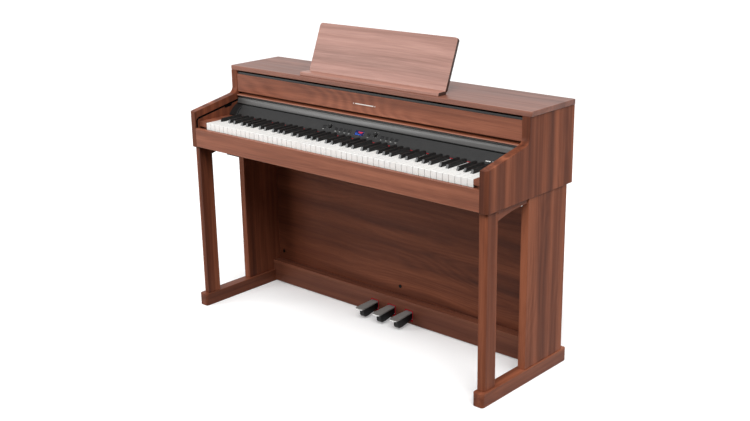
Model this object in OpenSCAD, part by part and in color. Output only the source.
// Digital piano with a full keyboard in a wooden console case on a panelled
// stand, with sliding key cover, folding music rest and three pedals.
// Origin on the floor under the middle of the footprint; +X is the player's
// right, -Y faces the player, +Z is up. All lengths are millimetres.

/* [Case] */
// Width over the outer faces of the two side panels
case_w = 1356; // [1330:2:1480]
// Depth of the side panels, arm front to back edge
case_d = 460; // [456:1:520]
// Thickness of a side panel
side_t = 29; // [22:1:34]
// Underside of the side panels above the floor
arm_z = 626; // [590:1:680]
// Height of an arm at its front edge
arm_h = 132.5; // [131:0.5:140]
// Height of the case from the arm underside to the top board
case_h = 257; // [255:1:290]
// Thickness of the top board
top_t = 17; // [14:1:24]
// How far the top board overhangs each side panel
top_over = 3.5; // [0:0.5:12]

/* [Keyboard] */
// Width taken by one white key, fixed by hand size
key_pitch = 23.5; // [23.3:0.1:23.6]
// Gap between neighbouring white keys
key_gap = 1.2; // [0.8:0.1:1.4]
// Width of a black key at its foot
black_w = 11; // [9.5:0.5:11.5]
// Radius of the rod the keys turn on
key_rod_r = 4; // [3:0.5:4]

/* [Control panel] */
// Tilt of the panel from level, in degrees
pan_a = 46; // [44:1:48]
// Width and height of a push button
btn = [12, 10]; // [8:1:13]
// Radius of a knob
knob_r = 7.5; // [5:0.5:8]

/* [Music rest] */
// Width of the music rest
rest_w = 624; // [500:2:800]
// Height of the music rest board
rest_h = 183; // [180:1:184]
// Backward lean of the music rest, in degrees
rest_lean = 21.6; // [20:0.2:24]

/* [Stand] */
// Height of the feet
foot_h = 47; // [40:1:60]
// Width of a foot
foot_w = 41; // [36:1:60]
// How far a foot reaches in front of the arms
foot_front = 8; // [2:1:30]
// Distance between neighbouring pedals
pedal_pitch = 83.5; // [75:0.5:95]
// Sideways place of the middle pedal
pedal_x = -10; // [-20:1:20]

/* [Hidden] */
$fn = 48;
foot_back = 2;
front_y = foot_front - (foot_front + case_d + foot_back) / 2;
back_d = case_d;
out_x = case_w / 2;
in_x = out_x - side_t;
top_z = arm_z + case_h;
rest_z = top_z + top_t;

stile_y = 212;
slope = 11.03;
corner_r = 12;
groove_w = 6;
groove_deep = 8;
groove_z = arm_z + 104.2;
groove_front_y = 9.5;
groove_bend_r = 14;
groove_end_y = 424;
// the notch under the groove that the cover's front pin drops in by
notch_y = [146, 148, 176, 184];
notch_deep = 7;

whites = 52;
key_half = whites * key_pitch / 2;
semi_pitch = key_pitch * 7 / 12;
key_z = arm_z + 94;
key_y = 22;
white_end_y = 172;
black_y = 72;
black_end_y = 167;
black_rise = 12;
lever_top_z = key_z - 4;
lever_z = key_z - 20;
head_z = key_z - 25;
lever_end_y = 275;
cap_y = 165;
piv_y = 262;
piv_z = key_z - 19;

bed_z = arm_z + 3;
bed_t = 16;
bed_top = bed_z + bed_t;
slip_t = 15;
slip_h = 69;
back_t = 12;
back_y = case_d - 14;

pan_y = 203.5;
pan_z = arm_z + 131;
pan_l = 47.5;
pan_t = 3;
pan_back = 12;

cover_slope = tan(slope);
cover_half = in_x - 3;
cover_top = arm_z + 166;
cover_y = 206;
cover_l = 215;
cover_t = 6;
lip_z = arm_z + 134;
pin_y = 215;
pin_back_y = 405;
pin_r = 2.5;

rest_t = 11;
rest_hinge_y = 275.8;
rest_hinge_z = rest_z + 7;
hinge_r = 3;
hinge_x = 200;
prop_a = 80;
prop_off = 4;
prop_r = 2;
prop_x = 62;
prop_l = 95;
prop_lean = 35.5;

back_board_y = 392;
back_board_t = 15;
rail_y = 354;
rail_z = 3;
rail_t = 12;
rail_top = 87;
slot_w = 37;
slot_z = [14, 56];
slot_felt = 2;
pedal_top = 52.4;
pedal_tip_y = 261;
tread_t = 4.5;
tread_lean = 3;
axle_y = 381;
axle_z = 35;
axle_r = 4;
run = 0.05;
plug_r = 3.2;
barrel_r = 2.8;
rear_leg_y = 222;

walnut = [0.48, 0.31, 0.24];
pale_wood = [0.72, 0.58, 0.52];
top_wood = [0.58, 0.47, 0.42];
black = [0.07, 0.07, 0.07];
grey = [0.30, 0.30, 0.30];
ivory = [0.94, 0.94, 0.93];
steel = [0.62, 0.63, 0.64];
red_felt = [0.72, 0.15, 0.20];
green = [0.10, 0.32, 0.18];

// ---- helpers ----
// y is counted from the front edge of the arms inside seat()
module seat() translate([0, front_y, 0]) children();
// a profile drawn in y and z, drawn out along x
module along_x(x, len) translate([x, 0, 0]) rotate([90, 0, 90]) linear_extrude(len) children();
// a profile drawn in x and z, drawn out along y
module along_y(y, len) translate([0, y + len, 0]) rotate([90, 0, 0]) linear_extrude(len) children();
module both_sides() {
  children();
  mirror([1, 0, 0]) children();
}
module box(x0, x1, y0, y1, z0, z1) translate([x0, y0, z0]) cube([x1 - x0, y1 - y0, z1 - z0]);
module rod_x(x0, x1, y, z, r) translate([x0, y, z]) rotate([0, 90, 0]) cylinder(h = x1 - x0, r = r);
// a rectangle with its corners rounded, corner to corner
module soft_rect(x0, x1, y0, y1, r) {
  translate([x0 + r, y0]) square([x1 - x0 - 2 * r, y1 - y0]);
  translate([x0, y0 + r]) square([x1 - x0, y1 - y0 - 2 * r]);
  for (x = [x0 + r, x1 - r], y = [y0 + r, y1 - r]) translate([x, y]) circle(r);
}
// a rectangle with one rounded corner, at its largest x and smallest y
module one_corner(x0, x1, y0, y1, r) {
  translate([x0, y0]) square([x1 - x0 - r, y1 - y0]);
  translate([x0, y0 + r]) square([x1 - x0, y1 - y0 - r]);
  translate([x1 - r, y0 + r]) circle(r);
}
// the frame of the tilted panel: x across, y up the slope, z out of its face
module on_panel(x, down)
  translate([x, pan_y - down * cos(pan_a), pan_z - down * sin(pan_a)])
    rotate([pan_a, 0, 0]) children();
// the frame of the music rest: y up the board, z out of its back, from the hinge line
module on_rest()
  translate([0, rest_hinge_y, rest_hinge_z])
    rotate([90 - rest_lean, 0, 0]) mirror([0, 0, 1]) children();

function groove_at(y) = groove_z + cover_slope * y;
function cover_at(y) = cover_top + cover_slope * (y - cover_y);
function lift(run_y) = run_y * cover_slope;

// ---- case ----
module side_profile() {
  line_z = arm_z + arm_h;
  corner_z = line_z + lift(stile_y);
  fillet_r = 25;
  cy = stile_y - fillet_r;
  cz = line_z + lift(cy) + fillet_r / cos(slope);
  ty = cy + fillet_r * sin(slope);
  polygon([
    [0, arm_z], [back_d, arm_z], [back_d, top_z],
    [stile_y, top_z], [stile_y, corner_z], [0, line_z]
  ]);
  difference() {
    polygon([
      [ty, line_z + lift(ty)], [stile_y + 1, corner_z - 1], [stile_y + 1, cz],
      [stile_y, cz], [cy, cz]
    ]);
    translate([cy, cz]) circle(fillet_r + 0.02);
  }
}

module groove_profile() {
  h = groove_w / 2;
  cy = groove_front_y + groove_bend_r;
  cz = groove_at(cy) - groove_bend_r / cos(slope);
  dz = h / cos(slope);
  steps = 8;
  bend = (90 - slope) / steps;
  function at(r, i) = [cy + r * cos(180 - i * bend), cz + r * sin(180 - i * bend)];
  low_z = slip_top() + 1;
  polygon(concat(
    [[groove_front_y + h, low_z], [groove_front_y - h, low_z]],
    [for (i = [0:steps]) at(groove_bend_r + h, i)],
    [[groove_end_y, groove_at(groove_end_y) + dz], [groove_end_y, groove_at(groove_end_y) - dz]],
    [[notch_y[3], groove_at(notch_y[3]) - dz], [notch_y[2], groove_at(notch_y[2]) - dz - notch_deep]],
    [[notch_y[1], groove_at(notch_y[1]) - dz - notch_deep + 1], [notch_y[0], groove_at(notch_y[0]) - dz]],
    [for (i = [steps:-1:0]) at(groove_bend_r - h, i)]
  ));
}
function slip_top() = bed_z + slip_h;

module side_panel() difference() {
  intersection() {
    along_x(in_x, side_t) side_profile();
    translate([0, 0, arm_z - 1]) linear_extrude(case_h + 2) one_corner(in_x, out_x, 0, back_d, corner_r);
  }
  along_x(in_x - 1, groove_deep + 1) groove_profile();
}
module side_panels() color(walnut) seat() both_sides() side_panel();

module top_board() color(top_wood) seat() translate([0, 0, top_z]) linear_extrude(top_t)
  difference() {
    soft_rect(-out_x - top_over, out_x + top_over, stile_y + 0.5, back_d, 6);
  }

fascia_z = arm_z + 177.5;
fascia_h = 66;
fascia_y = 214;
fascia_t = 15;
module fascia_board() color(walnut) seat()
  box(-in_x, in_x, fascia_y, fascia_y + fascia_t, fascia_z, fascia_z + fascia_h);
module slot_strip() color(black) seat()
  box(-in_x, in_x, fascia_y + 4, fascia_y + 8, fascia_z + fascia_h, fascia_z + fascia_h + 7.5);

jack_x = -500;
jack_z = arm_z + 84;
jack_w = 120;
jack_h = 40;
module jack_block(y0, y1)
  box(jack_x - jack_w / 2, jack_x + jack_w / 2, y0, y1, jack_z - jack_h / 2, jack_z + jack_h / 2);
module upper_back_board() color(walnut) seat() difference() {
  box(-in_x, in_x, back_y, back_y + back_t, bed_z, top_z);
  jack_block(back_y - 1, back_y + back_t + 1);
}

speaker_x = 430;
speaker_y = 345;
speaker_r = 50;
module keybed() color(walnut) seat() difference() {
  box(-in_x, in_x, slip_t, back_y, bed_z, bed_top);
  both_sides() translate([speaker_x, speaker_y, bed_z - 1]) cylinder(h = bed_t + 2, r = speaker_r - 10);
}
module keyslip() color(walnut) seat()
  box(-in_x, in_x, 0, slip_t, bed_z, slip_top());

module key_block() difference() {
  along_x(key_half, in_x - key_half) polygon([
    [key_y, slip_top() + 5], [key_y, key_z + 1], [cap_y - 1, key_z + 1], [cap_y - 1, key_z - 8],
    [lever_end_y + 5, key_z - 8], [lever_end_y + 5, bed_top],
    [key_y + 8, bed_top], [key_y + 8, slip_top() + 5]
  ]);
  rod_x(key_half - 1, key_half + 14, piv_y, piv_z, key_rod_r + 0.02);
}
module key_blocks() color(walnut) seat() both_sides() key_block();

// ---- control panel ----
knob_l_x = -139;
knob_r_x = 73;
knob_down = 19;
power_x = -166;
menu_x = 43;
btn_down = 23;
left_x = -108.5;
right_x = 104;
btn_pitch = 21.5;
btn_gap = 0.4;
knob_shaft_r = 3;
win = [40, 20];
win_down = 24;
function btn_xs() = concat(
  [power_x, menu_x],
  [for (i = [0:3]) left_x + i * btn_pitch],
  [for (i = [0:3]) right_x + i * btn_pitch]
);

module control_panel() color(grey) seat() difference() {
  union() {
    on_panel(0, 0) translate([-key_half, -pan_l, -pan_t]) cube([2 * key_half, pan_l, pan_t]);
    along_x(-key_half, 2 * key_half) polygon([
      [pan_y, pan_z], [pan_y + pan_back, pan_z], [pan_y + pan_back, pan_z - pan_t],
      [pan_y + pan_t * sin(pan_a), pan_z - pan_t * cos(pan_a)]
    ]);
  }
  for (x = btn_xs()) on_panel(x, btn_down)
    translate([-btn[0] / 2 - btn_gap, -btn[1] / 2 - btn_gap, -pan_t - 1])
      cube([btn[0] + 2 * btn_gap, btn[1] + 2 * btn_gap, pan_t + 2]);
  for (x = [knob_l_x, knob_r_x]) on_panel(x, knob_down)
    translate([0, 0, -pan_t - 1]) cylinder(h = pan_t + 2, r = knob_shaft_r + run);
  on_panel(0, win_down) translate([-win[0] / 2 - 0.1, -win[1] / 2 - 0.1, -1.5])
    cube([win[0] + 0.2, win[1] + 0.2, 3]);
}
module display_window() color(black) seat()
  on_panel(0, win_down) translate([-win[0] / 2, -win[1] / 2, -1.5]) cube([win[0], win[1], 1.8]);

module end_cap() along_x(key_half, in_x - key_half) polygon([
  [cap_y, key_z - 8], [cap_y, key_z - 3], [cap_y + 2, key_z + 5], [cap_y + 8, key_z + 13],
  [cap_y + 20, key_z + 26], [pan_y - 2, pan_z + 0.7], [pan_y + pan_back, pan_z + 0.7],
  [pan_y + pan_back, key_z - 8]
]);
module panel_end_caps() color(black) seat() both_sides() end_cap();

module button_at(x) seat() on_panel(x, btn_down) {
  translate([-btn[0] / 2, -btn[1] / 2, -4.5]) cube([btn[0], btn[1], 6.5]);
  translate([-btn[0] / 2 - 1.5, -btn[1] / 2 - 1, -5.4]) cube([btn[0] + 3, btn[1] + 2, 2]);
}
module knob_at(x) seat() on_panel(x, knob_down) {
  translate([0, 0, 0.6]) cylinder(h = 7.4, r = knob_r);
  translate([0, 0, 8]) cylinder(h = 1, r1 = knob_r, r2 = knob_r - 1);
  translate([0, 0, -8]) cylinder(h = 9, r = knob_shaft_r);
}
module knob_volume() color(black) knob_at(knob_l_x);
module knob_select() color(black) knob_at(knob_r_x);
module button_power() color(black) button_at(power_x);
module button_menu() color(black) button_at(menu_x);
module button_left(i) color(black) button_at(left_x + (i - 1) * btn_pitch);
module button_right(i) color(black) button_at(right_x + (i - 1) * btn_pitch);

// ---- keys ----
// s counts semitones from the C below the lowest key
function is_black(n) = n == 1 || n == 3 || n == 6 || n == 8 || n == 10;
function white_of(n) = floor((n + (n > 4 ? 1 : 0)) / 2);
function octave_x(s) = -key_half + (floor(s / 12) * 7 - 5) * key_pitch;
function black_x(s) = octave_x(s) + (s % 12 + 0.5) * semi_pitch;
function white_x(s) = octave_x(s) + white_of(s % 12) * key_pitch;
low_s = 9;
high_s = 96;

function rod_notch() = [
  [lever_end_y, lever_z], [piv_y + 5, lever_z], [piv_y + 5, piv_z + 5],
  [piv_y - 5, piv_z + 5], [piv_y - 5, lever_z]
];

module white_key(s) difference() {
  along_x(white_x(s) + key_gap / 2, key_pitch - key_gap) polygon(concat(
    [[key_y, head_z], [key_y, key_z], [white_end_y, key_z]],
    [[white_end_y, lever_top_z], [lever_end_y, lever_top_z]],
    rod_notch(), [[key_y + 18, lever_z], [key_y + 18, head_z]]
  ));
  for (b = [s - 1, s + 1]) if (is_black(b % 12) && b > low_s && b < high_s)
    translate([black_x(b) - black_w / 2 - 1, black_y - 1, head_z - 1])
      cube([black_w + 2, lever_end_y - black_y + 2, key_z - head_z + 2]);
}

module black_key(s) {
  h = black_w / 2;
  intersection() {
    along_x(black_x(s) - h, black_w) polygon(concat(
      [[black_y, lever_z], [black_y, key_z - 1], [black_y + 4.5, key_z + black_rise],
       [black_end_y, key_z + black_rise], [black_end_y, lever_top_z], [lever_end_y, lever_top_z]],
      rod_notch()
    ));
    along_y(black_y - 1, lever_end_y - black_y + 2) translate([black_x(s), 0]) polygon([
      [-h, lever_z - 1], [-h, key_z - 1], [-h + 0.9, key_z + black_rise + 0.1],
      [h - 0.9, key_z + black_rise + 0.1], [h, key_z - 1], [h, lever_z - 1]
    ]);
  }
}
module note(n) seat() for (s = [low_s:high_s]) if (s % 12 == n) {
  if (is_black(n)) black_key(s);
  else white_key(s);
}

// sheet with a front rail for the felt and a ridge that carries the key rod
chassis_end_y = 292;
chassis_t = 4;
rail_felt_z = arm_z + 55;
module key_chassis() color(grey) seat() along_x(-key_half + 1, 2 * key_half - 2) polygon([
  [key_y + 10, bed_top], [chassis_end_y, bed_top], [chassis_end_y, bed_top + chassis_t],
  [piv_y + 10, bed_top + chassis_t], [piv_y + 8, piv_z - key_rod_r - 0.1],
  [piv_y - 8, piv_z - key_rod_r - 0.1], [piv_y - 10, bed_top + chassis_t],
  [60, bed_top + chassis_t], [60, rail_felt_z], [36, rail_felt_z],
  [36, bed_top + chassis_t], [key_y + 10, bed_top + chassis_t]
]);

function pedal_xs() = [for (i = [-1:1]) pedal_x + i * pedal_pitch];

module pivot_rods() color(steel) seat() {
  rod_x(-key_half - 13, key_half + 13, piv_y, piv_z, key_rod_r);
  rod_x(pedal_x - pedal_pitch - 32, pedal_x + pedal_pitch + 32, axle_y, axle_z, axle_r);
}

module felts() color(red_felt) seat() {
  on_panel(0, 0) translate([-key_half + 1, -pan_l - 2.1, -1.2]) cube([2 * key_half - 2, 2.1, 1.2]);
  box(-key_half + 2, key_half - 2, 38, 58, rail_felt_z, rail_felt_z + 3.8);
  for (x = pedal_xs()) along_y(rail_y - 1, rail_t + 1) translate([x, 0]) difference() {
    translate([-slot_w / 2, slot_z[0]]) square([slot_w, slot_z[1] - slot_z[0]]);
    translate([-slot_w / 2 + slot_felt, slot_z[0] + slot_felt])
      square([slot_w - 2 * slot_felt, slot_z[1] - slot_z[0] - 2 * slot_felt]);
  }
}

// ---- inside the case ----
module speaker() translate([speaker_x, speaker_y, bed_top]) {
  rotate_extrude() polygon([
    [speaker_r - 14, 0], [speaker_r, 0], [speaker_r, 4], [30, 26], [22, 26], [22, 50], [0, 50],
    [0, 20], [8, 20], [12, 24], [speaker_r - 14, 4]
  ]);
}
module speakers() color(black) seat() both_sides() speaker();

module circuit_boards() color(green) seat() {
  board_z = bed_top + 8;
  box(-190, 190, 310, 430, board_z, board_z + 2);
  for (x = [-182, 182], y = [318, 422]) translate([x, y, bed_top]) cylinder(h = 9, r = 3.5);
  box(-140, -90, 330, 380, board_z + 1.5, board_z + 6);
  box(-50, 10, 335, 375, board_z + 1.5, board_z + 5);
  box(50, 150, 380, 420, board_z + 1.5, board_z + 30);
  on_panel(0, 0) translate([-200, -36, -12]) cube([400, 34, 1.6]);
}

// power inlet, two line sockets and a data socket
module jack_panel() color(black) seat() difference() {
  jack_block(back_y - 8, back_y + 9);
  translate([jack_x - 42, back_y + 10, jack_z]) rotate([90, 0, 0]) cylinder(h = 13, r = barrel_r);
  for (x = [-12, 12]) translate([jack_x + x, back_y + 10, jack_z])
    rotate([90, 0, 0]) cylinder(h = 15, r = plug_r);
  box(jack_x + 34, jack_x + 46, back_y - 2, back_y + 10, jack_z - 5.5, jack_z + 5.5);
}

phones_x = -557;
phones_y = 95;
phones_w = 70;
phones_d = 72;
phones_h = 37;
module headphone_box() color(black) seat() difference() {
  translate([phones_x - phones_w / 2, phones_y, arm_z - phones_h])
    cube([phones_w, phones_d, bed_z - arm_z + phones_h]);
  for (x = [-18, 18]) translate([phones_x + x, phones_y - 1, arm_z - phones_h / 2 - 1])
    rotate([-90, 0, 0]) cylinder(h = 21, r = plug_r);
}

// ---- stand ----
leg_out = out_x - 8;
leg_in = leg_out - 27;
leg_back_y = 67;
leg_d = 58;
arch_y = 215;
arch_z = arm_z - 15.5;
arch_r = 568;
rear_out = out_x - 4;
rear_in = rear_out - 27;
foot_in = out_x - foot_w;

module front_legs() color(walnut) seat() both_sides() translate([0, 0, foot_h]) linear_extrude(arm_z - foot_h)
  one_corner(leg_in, leg_out, leg_back_y - leg_d, leg_back_y, 9);
module rear_legs() color(walnut) seat() both_sides() box(rear_in, rear_out, rear_leg_y, 436, foot_h, arm_z);
module feet() color(walnut) seat() both_sides() linear_extrude(foot_h)
  soft_rect(foot_in, out_x, -foot_front, case_d + foot_back, 10);
module side_rails() color(walnut) seat() both_sides()
  difference() {
    box(leg_in, leg_out, leg_back_y, rear_leg_y, arm_z - 60, arm_z);
    rod_x(leg_in - 1, leg_out + 1, arch_y, arch_z - arch_r, arch_r, $fn = 720);
    translate([rail_bolt[0], rail_bolt[1], arch_z - 5]) cylinder(h = 15, r = 3);
  }
module back_board() color(walnut) seat() {
  box(-rear_in, rear_in, back_board_y, back_board_y + back_board_t, foot_h, bed_z);
  box(-foot_in, foot_in, back_board_y, back_board_y + back_board_t, rail_z, foot_h);
}

module pedal_rail() color(walnut) seat() difference() {
  union() {
    box(-foot_in, foot_in, rail_y, rail_y + rail_t, rail_z, rail_top);
    box(-rear_in, rear_in, rail_y, rail_y + rail_t, foot_h, rail_top);
    box(-rear_in, rear_in, rail_y, back_board_y, rail_top - rail_t, rail_top);
  }
  for (x = pedal_xs()) translate([x - slot_w / 2, rail_y - 1, slot_z[0]])
    cube([slot_w, rail_t + 2, slot_z[1] - slot_z[0]]);
}

// webs that hold the axle between the pedals
web_pitch = 0.9 * pedal_pitch;
web_t = 6;
web_z = 14;
module pedal_box() color(grey) seat() difference() {
  union() {
    for (i = [-1.5:1:1.5]) translate([pedal_x + i * web_pitch - web_t / 2, rail_y + rail_t + 1, web_z])
      cube([web_t, back_board_y - rail_y - rail_t - 1, rail_top - rail_t - web_z]);
    box(pedal_x - 1.5 * web_pitch, pedal_x + 1.5 * web_pitch, axle_y - 6, back_board_y, web_z, web_z + 6);
  }
  rod_x(-400, 400, axle_y, axle_z, axle_r + 0.02);
}

cap_r = 6.5;
bolt_r = 3.8;
rail_bolt = [leg_in + 16, 203];
module screws() color(steel) seat() {
  for (x = [-rear_in + 26, 0, rear_in - 26]) translate([x, back_board_y - 1.5, 120])
    rotate([-90, 0, 0]) cylinder(h = 1.5, r = cap_r);
  both_sides() {
    translate([rail_bolt[0], rail_bolt[1], arch_z - 6.4]) {
      cylinder(h = 6, r = bolt_r);
      cylinder(h = 16, r = 3);
    }
    for (y = [60, 375]) translate([rear_in - 8, y, arm_z]) cylinder(h = 3, r = bolt_r);
  }
}

module pedal_plan(root, tip, y_tip, y_back, r) {
  polygon([
    [-root, y_back], [-root, rail_y - 2], [-tip, y_tip + 28], [-tip, y_tip + r], [r - tip, y_tip],
    [tip - r, y_tip], [tip, y_tip + r], [tip, y_tip + 28], [root, rail_y - 2], [root, y_back]
  ]);
  for (m = [-1, 1]) translate([m * (tip - r), y_tip + r]) circle(r);
}
// a flat tread that leans down to the front, over a narrower black lever
module pedal_at(x) seat() translate([x, 0, 0]) difference() {
  union() {
    translate([0, axle_y, axle_z]) rotate([tread_lean, 0, 0])
      translate([0, -axle_y, pedal_top - axle_z - tread_t])
        linear_extrude(tread_t) pedal_plan(15, 17.5, pedal_tip_y, axle_y - 9, 10);
    intersection() {
      along_x(-20, 40) polygon([
        [280, 44.5], [281, 17], [287, 9], [304, 9], [322, 12.5], [rail_y, 21],
        [axle_y - 1, 30], [axle_y - 1, 40], [axle_y - 9, 48], [axle_y - 12, 49]
      ]);
      linear_extrude(60) pedal_plan(11, 11, pedal_tip_y + 16, axle_y, 7);
    }
    rod_x(-11, 11, axle_y, axle_z, 8);
  }
  rod_x(-30, 30, axle_y, axle_z, axle_r + run);
}
module pedal_soft() color(steel) pedal_at(pedal_xs()[0]);
module pedal_sostenuto() color(steel) pedal_at(pedal_xs()[1]);
module pedal_damper() color(steel) pedal_at(pedal_xs()[2]);

// ---- music rest ----
module music_rest_ledge() color(pale_wood) seat() along_x(-rest_w / 2 - 5, rest_w + 10) {
  y0 = 222;
  y1 = 262;
  h = 12;
  r = 5;
  translate([y0 + r, rest_z]) square([y1 - y0 - r, h]);
  translate([y0, rest_z]) square([y1 - y0, h - r]);
  translate([y0 + r, rest_z + h - r]) circle(r);
}

module music_rest_board() color(pale_wood) seat() difference() {
  on_rest() translate([0, 0, -rest_t]) linear_extrude(rest_t)
    soft_rect(-rest_w / 2, rest_w / 2, -6, rest_h - 6, 11);
  both_sides() rod_x(hinge_x - 27, hinge_x + 27, rest_hinge_y, rest_hinge_z, hinge_r + 0.6);
}

module music_rest_hinges() color(steel) seat() both_sides() {
  box(hinge_x - 25, hinge_x + 25, rest_hinge_y + 3.2, rest_hinge_y + 26, rest_z, rest_z + 1.5);
  for (x = [-25, 9]) {
    rod_x(hinge_x + x, hinge_x + x + 16, rest_hinge_y, rest_hinge_z, hinge_r);
    box(hinge_x + x, hinge_x + x + 16, rest_hinge_y - 0.6, rest_hinge_y + 4, rest_z, rest_hinge_z - 1);
  }
  rod_x(hinge_x - 10, hinge_x + 10, rest_hinge_y, rest_hinge_z, 1.5);
}

module music_rest_clips() color(steel) seat() {
  both_sides() difference() {
    union() {
      rod_x(hinge_x - 8.6, hinge_x + 8.6, rest_hinge_y, rest_hinge_z, hinge_r);
      on_rest() translate([hinge_x - 8.6, 0, 0]) cube([17.2, 14, 1.2]);
      on_rest() translate([hinge_x - 25, 8, 0]) cube([50, 24, 1.2]);
    }
    rod_x(hinge_x - 10, hinge_x + 10, rest_hinge_y, rest_hinge_z, 1.5 + run);
  }
  both_sides() on_rest() difference() {
    translate([35, prop_a - 6, 0]) cube([10, 12, prop_off + 3.5]);
    translate([30, prop_a, prop_off]) rotate([0, 90, 0]) cylinder(h = 20, r = prop_r + run);
  }
}

// the stay stands from its rod on the board's back down to the top board
module music_rest_prop() color(steel) seat() {
  py = rest_hinge_y + prop_a * sin(rest_lean) + prop_off * cos(rest_lean);
  pz = rest_hinge_z + prop_a * cos(rest_lean) - prop_off * sin(rest_lean);
  translate([0, py, pz]) {
    end = prop_x + prop_r + 0.5;
    rod_x(-end, end, 0, 0, prop_r);
    both_sides() translate([prop_x, 0, 0]) rotate([180 + prop_lean, 0, 0])
      cylinder(h = prop_l, r = prop_r - 0.2);
    rod_x(-end, end, prop_l * sin(prop_lean), -prop_l * cos(prop_lean), prop_r);
  }
}

// ---- sliding key cover ----
module key_cover() color(pale_wood) seat() along_x(-cover_half, 2 * cover_half) {
  t = cover_t / cos(slope);
  nose_y = cover_y - 2;
  rebate_y = cover_y + 3.8;
  rebate_z = lip_z + 29.2;
  end_y = cover_y + cover_l;
  polygon([
    [nose_y, cover_at(nose_y)], [end_y, cover_at(end_y)], [end_y, cover_at(end_y) - t],
    [rebate_y, cover_at(rebate_y) - t], [rebate_y, rebate_z], [nose_y, rebate_z]
  ]);
}

module cover_lip() color(grey) seat() {
  z0 = lip_z;
  difference() {
    along_x(-cover_half, 2 * cover_half) polygon([
      [pan_y + 0.5, z0], [pan_y + 4, z0 - 0.3], [pan_y + 12, z0 + 19], [pan_y + 13, z0 + 26.4],
      [pan_y + 6, z0 + 26.4], [pan_y + 6, z0 + 29], [pan_y + 1.5, z0 + 29], [pan_y + 1.5, z0 + 25.5],
      [pan_y + 9.5, z0 + 24.5], [pan_y + 9.5, z0 + 21], [pan_y - 1, z0 + 4]
    ]);
    rod_x(-out_x, out_x, pan_y - 21.5, z0 + 20.9, 30);
  }
  both_sides() {
    y0 = pan_y + 8;
    y1 = pin_back_y + 5;
    under = cover_t + 0.2;
    along_x(cover_half - 3, 3) polygon([
      [y0, groove_at(y0) - 3], [y1, groove_at(y1) - 3],
      [y1, cover_at(y1) - under], [y0, cover_at(y0) - under]
    ]);
    for (y = [pin_y, pin_back_y]) rod_x(cover_half - 3, in_x + 6.5, y, groove_at(y), pin_r);
  }
}

side_panels();
top_board();
fascia_board();
slot_strip();
upper_back_board();
keybed();
keyslip();
key_blocks();
control_panel();
panel_end_caps();
display_window();
felts();
key_chassis();
pivot_rods();
circuit_boards();
speakers();
jack_panel();
headphone_box();
front_legs();
rear_legs();
feet();
side_rails();
back_board();
pedal_rail();
pedal_box();
screws();
pedal_soft();
pedal_sostenuto();
pedal_damper();
music_rest_ledge();
music_rest_hinges();
music_rest_board();
music_rest_clips();
music_rest_prop();
key_cover();
cover_lip();
knob_volume();
knob_select();
button_power();
button_menu();
button_left(1);  // button_left_1
button_left(2);  // button_left_2
button_left(3);  // button_left_3
button_left(4);  // button_left_4
button_right(1);  // button_right_1
button_right(2);  // button_right_2
button_right(3);  // button_right_3
button_right(4);  // button_right_4
color(ivory) note(0);  // keys_c
color(black) note(1);  // keys_c_sharp
color(ivory) note(2);  // keys_d
color(black) note(3);  // keys_d_sharp
color(ivory) note(4);  // keys_e
color(ivory) note(5);  // keys_f
color(black) note(6);  // keys_f_sharp
color(ivory) note(7);  // keys_g
color(black) note(8);  // keys_g_sharp
color(ivory) note(9);  // keys_a
color(black) note(10);  // keys_a_sharp
color(ivory) note(11);  // keys_b
